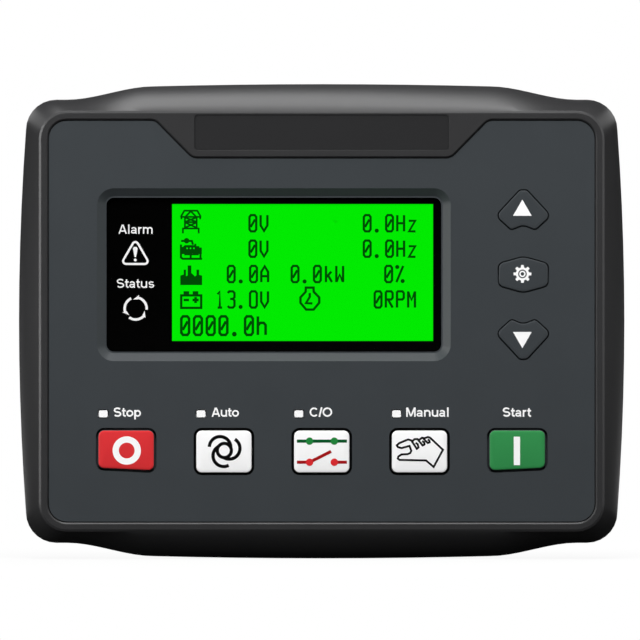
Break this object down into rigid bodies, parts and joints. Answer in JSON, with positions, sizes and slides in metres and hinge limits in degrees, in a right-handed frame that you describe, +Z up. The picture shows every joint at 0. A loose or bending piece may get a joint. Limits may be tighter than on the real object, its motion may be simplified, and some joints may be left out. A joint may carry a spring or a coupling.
{
  "type": "genset controller",
  "caption": "Flat panel-mounted controller for a generating set, with a display window, mode keys, arrow keys, a rear housing with pluggable terminals and clamping clips.",
  "frame": {"origin": "centre of the panel cut-out, in the plane where the bezel seats on the switchboard panel", "axes": "+X to the right of a person facing the keys, +Y into the switchboard, +Z up"},
  "size_m": [0.209, 0.045, 0.1636],
  "materials": {
    "case_plastic": "fine texture",
    "panel_silicone": "matt",
    "red_silicone": "matt",
    "white_silicone": "matt",
    "green_silicone": "matt",
    "black_trim": "satin",
    "lens_acrylic": "polished",
    "black_rubber": "matt",
    "lamp_plastic": "frosted",
    "tinned_steel": "satin",
    "display_glass": "polished",
    "circuit_board": "solder mask",
    "zinc_steel": "zinc plated",
    "relay_plastic": "satin",
    "capacitor_can": "sleeved",
    "terminal_plastic": "satin",
    "clip_plastic": "satin"
  },
  "bodies": {
    "case": {"front_bezel": "case_plastic", "rear_housing": "case_plastic", "front_panel": "panel_silicone", "name_inlay": "black_trim", "display_lens": "lens_acrylic", "lens_seal": "black_rubber", "stop_lamp": "lamp_plastic", "auto_lamp": "lamp_plastic", "breaker_lamp": "lamp_plastic", "manual_lamp": "lamp_plastic", "indicator_leds": "lamp_plastic", "switch_bodies": "black_trim", "lcd_frame": "tinned_steel", "lcd_glass": "display_glass", "lcd_backlight": "lamp_plastic", "keypad_board": "circuit_board", "main_board": "circuit_board", "keypad_screws": "zinc_steel", "main_screws": "zinc_steel", "housing_screws": "zinc_steel", "terminal_screws": "zinc_steel", "processor": "black_trim", "board_link": "black_trim", "relays": "relay_plastic", "capacitors": "capacitor_can", "panel_gasket": "black_rubber", "fixing_clips": "clip_plastic", "top_left_header": "terminal_plastic", "top_left_plug": "terminal_plastic", "top_right_header": "terminal_plastic", "top_right_plug": "terminal_plastic", "low_left_header": "terminal_plastic", "low_left_plug": "terminal_plastic", "low_right_header": "terminal_plastic", "low_right_plug": "terminal_plastic"},
    "stop_button": {"stop_key": "red_silicone", "stop_plunger": "black_trim"},
    "auto_button": {"auto_key": "white_silicone", "auto_plunger": "black_trim"},
    "breaker_button": {"breaker_key": "white_silicone", "breaker_plunger": "black_trim"},
    "manual_button": {"manual_key": "white_silicone", "manual_plunger": "black_trim"},
    "start_button": {"start_key": "green_silicone", "start_plunger": "black_trim"},
    "up_button": {"up_key": "panel_silicone", "up_plunger": "black_trim"},
    "menu_button": {"menu_key": "panel_silicone", "menu_plunger": "black_trim"},
    "down_button": {"down_key": "panel_silicone", "down_plunger": "black_trim"},
    "foot_1": {"clip_foot_1": "clip_plastic"},
    "jack_1": {"clip_screw_1": "zinc_steel"},
    "foot_2": {"clip_foot_2": "clip_plastic"},
    "jack_2": {"clip_screw_2": "zinc_steel"},
    "foot_3": {"clip_foot_3": "clip_plastic"},
    "jack_3": {"clip_screw_3": "zinc_steel"},
    "foot_4": {"clip_foot_4": "clip_plastic"},
    "jack_4": {"clip_screw_4": "zinc_steel"}
  },
  "joints": [
    {"name": "stop_press", "type": "slide", "parent": "case", "child": "stop_button", "axis": [0, 1, 0], "range_m": [0, 0.001], "stiffness_N_per_m": 1500},
    {"name": "auto_press", "type": "slide", "parent": "case", "child": "auto_button", "axis": [0, 1, 0], "range_m": [0, 0.001], "stiffness_N_per_m": 1500},
    {"name": "breaker_press", "type": "slide", "parent": "case", "child": "breaker_button", "axis": [0, 1, 0], "range_m": [0, 0.001], "stiffness_N_per_m": 1500},
    {"name": "manual_press", "type": "slide", "parent": "case", "child": "manual_button", "axis": [0, 1, 0], "range_m": [0, 0.001], "stiffness_N_per_m": 1500},
    {"name": "start_press", "type": "slide", "parent": "case", "child": "start_button", "axis": [0, 1, 0], "range_m": [0, 0.001], "stiffness_N_per_m": 1500},
    {"name": "up_press", "type": "slide", "parent": "case", "child": "up_button", "axis": [0, 1, 0], "range_m": [0, 0.001], "stiffness_N_per_m": 1500},
    {"name": "menu_press", "type": "slide", "parent": "case", "child": "menu_button", "axis": [0, 1, 0], "range_m": [0, 0.001], "stiffness_N_per_m": 1500},
    {"name": "down_press", "type": "slide", "parent": "case", "child": "down_button", "axis": [0, 1, 0], "range_m": [0, 0.001], "stiffness_N_per_m": 1500},
    {"name": "foot_1_advance", "type": "slide", "parent": "case", "child": "foot_1", "axis": [0, -1, 0], "range_m": [-0.0035, 0.0042]},
    {"name": "jack_1_turn", "type": "hinge", "parent": "foot_1", "child": "jack_1", "pos_m": [-0.099, 0.0067, 0.026], "axis": [0, -1, 0], "range_deg": [-1800, 2160]},
    {"name": "foot_2_advance", "type": "slide", "parent": "case", "child": "foot_2", "axis": [0, -1, 0], "range_m": [-0.0035, 0.0042]},
    {"name": "jack_2_turn", "type": "hinge", "parent": "foot_2", "child": "jack_2", "pos_m": [0.099, 0.0067, 0.026], "axis": [0, -1, 0], "range_deg": [-1800, 2160]},
    {"name": "foot_3_advance", "type": "slide", "parent": "case", "child": "foot_3", "axis": [0, -1, 0], "range_m": [-0.0035, 0.0042]},
    {"name": "jack_3_turn", "type": "hinge", "parent": "foot_3", "child": "jack_3", "pos_m": [-0.099, 0.0067, -0.026], "axis": [0, -1, 0], "range_deg": [-1800, 2160]},
    {"name": "foot_4_advance", "type": "slide", "parent": "case", "child": "foot_4", "axis": [0, -1, 0], "range_m": [-0.0035, 0.0042]},
    {"name": "jack_4_turn", "type": "hinge", "parent": "foot_4", "child": "jack_4", "pos_m": [0.099, 0.0067, -0.026], "axis": [0, -1, 0], "range_deg": [-1800, 2160]}
  ],
  "couplings": [
    {"joint": "jack_1_turn", "follows": "foot_1_advance", "rad_per_m": 8976},
    {"joint": "jack_2_turn", "follows": "foot_2_advance", "rad_per_m": 8976},
    {"joint": "jack_3_turn", "follows": "foot_3_advance", "rad_per_m": 8976},
    {"joint": "jack_4_turn", "follows": "foot_4_advance", "rad_per_m": 8976}
  ]
}
